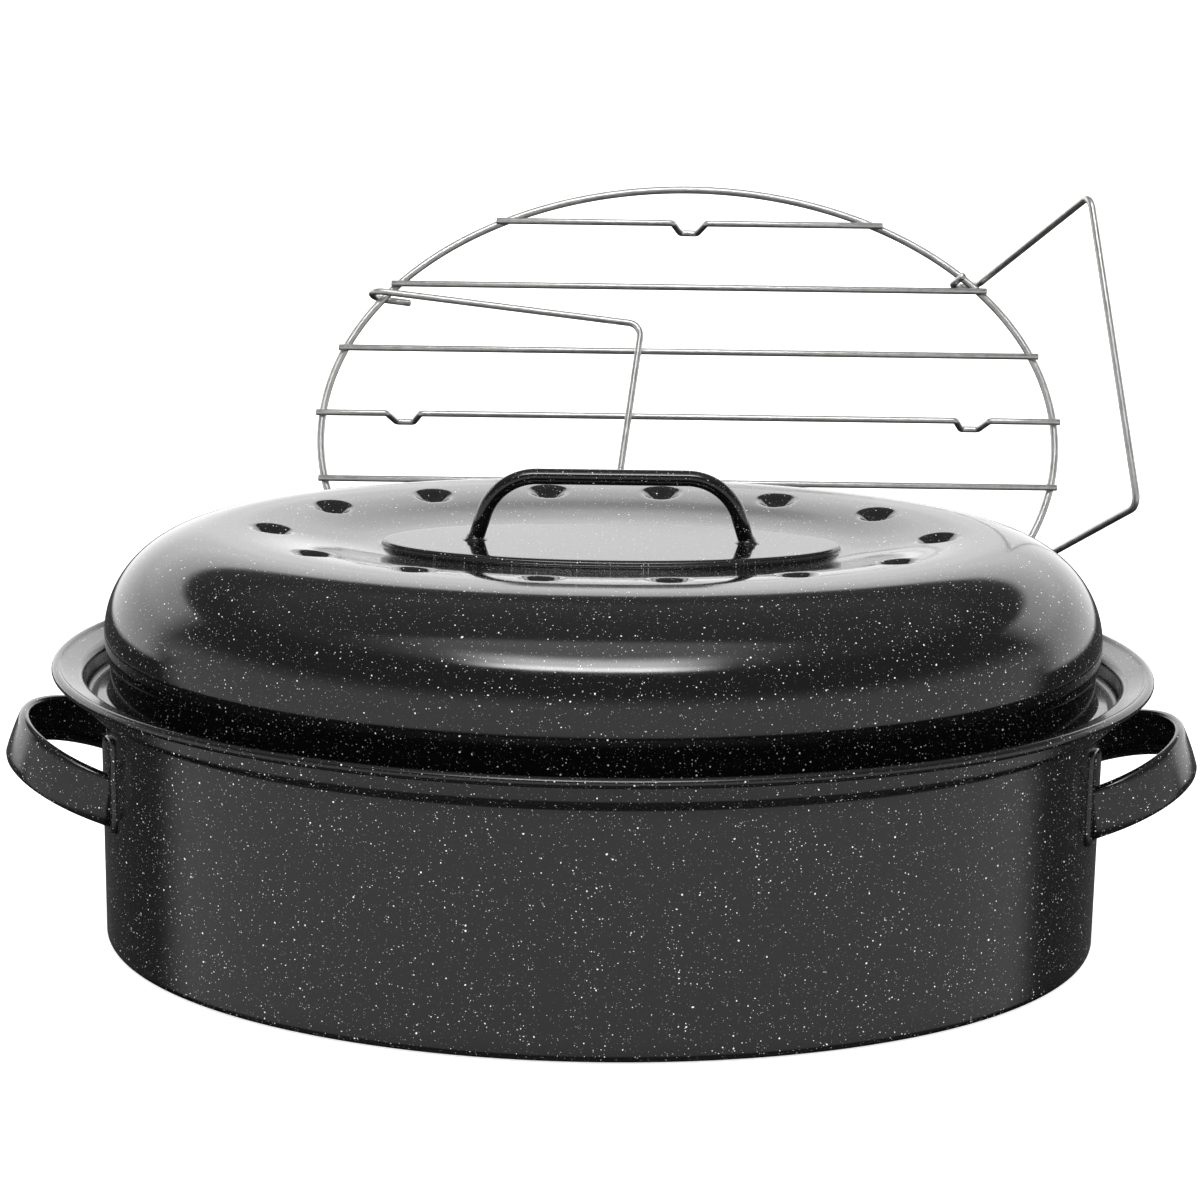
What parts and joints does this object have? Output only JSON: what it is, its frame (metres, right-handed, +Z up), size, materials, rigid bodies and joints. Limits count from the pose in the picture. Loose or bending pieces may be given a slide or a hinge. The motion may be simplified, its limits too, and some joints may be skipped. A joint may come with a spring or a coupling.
{
  "type": "covered oval roaster with lift rack",
  "caption": "Oval enamelled roasting pan with strap handles, a domed dimpled lid with a rod handle, and a wire lift rack with two swinging bails.",
  "frame": {"origin": "centre of the pan's flat underside", "axes": "+X along the pan's long axis to the right handle, +Y to the back where the rack leans back on its rim, +Z up"},
  "size_m": [0.5001, 0.6202, 0.2673],
  "materials": {
    "pan_enamel": "glossy black enamel with white speckles",
    "lid_enamel": "glossy black enamel with white speckles",
    "rack_wire": "bright nickel plating"
  },
  "bodies": {
    "pan": {"pan_body": "pan_enamel", "left_handle": "pan_enamel", "right_handle": "pan_enamel"},
    "lid": {"lid_shell": "lid_enamel", "lid_handle": "lid_enamel"},
    "rack": {"rack_ring": "rack_wire", "rack_bar_1": "rack_wire", "rack_bar_2": "rack_wire", "rack_bar_3": "rack_wire", "rack_bar_4": "rack_wire", "rack_bar_5": "rack_wire", "rack_bar_6": "rack_wire", "rack_bar_7": "rack_wire"},
    "left_bail": {"left_bail": "rack_wire"},
    "right_bail": {"right_bail": "rack_wire"}
  },
  "joints": [
    {"name": "lid_lift", "type": "slide", "parent": "pan", "child": "lid", "axis": [0, 0, 1], "range_m": [0, 0.15]},
    {"name": "rack_lift", "type": "slide", "parent": "pan", "child": "rack", "axis": [0, 0, 1], "range_m": [0, 0.2]},
    {"name": "left_bail_swing", "type": "hinge", "parent": "rack", "child": "left_bail", "pos_m": [-0.1337, 0.37326, 0.07849], "axis": [-0.1315, -0.4189, -0.8984], "range_deg": [-2, 237]},
    {"name": "right_bail_swing", "type": "hinge", "parent": "rack", "child": "right_bail", "pos_m": [0.21405, 0.36735, 0.0658], "axis": [-0.1272, 0.4192, 0.8989], "range_deg": [-104.5, 134.5]}
  ]
}
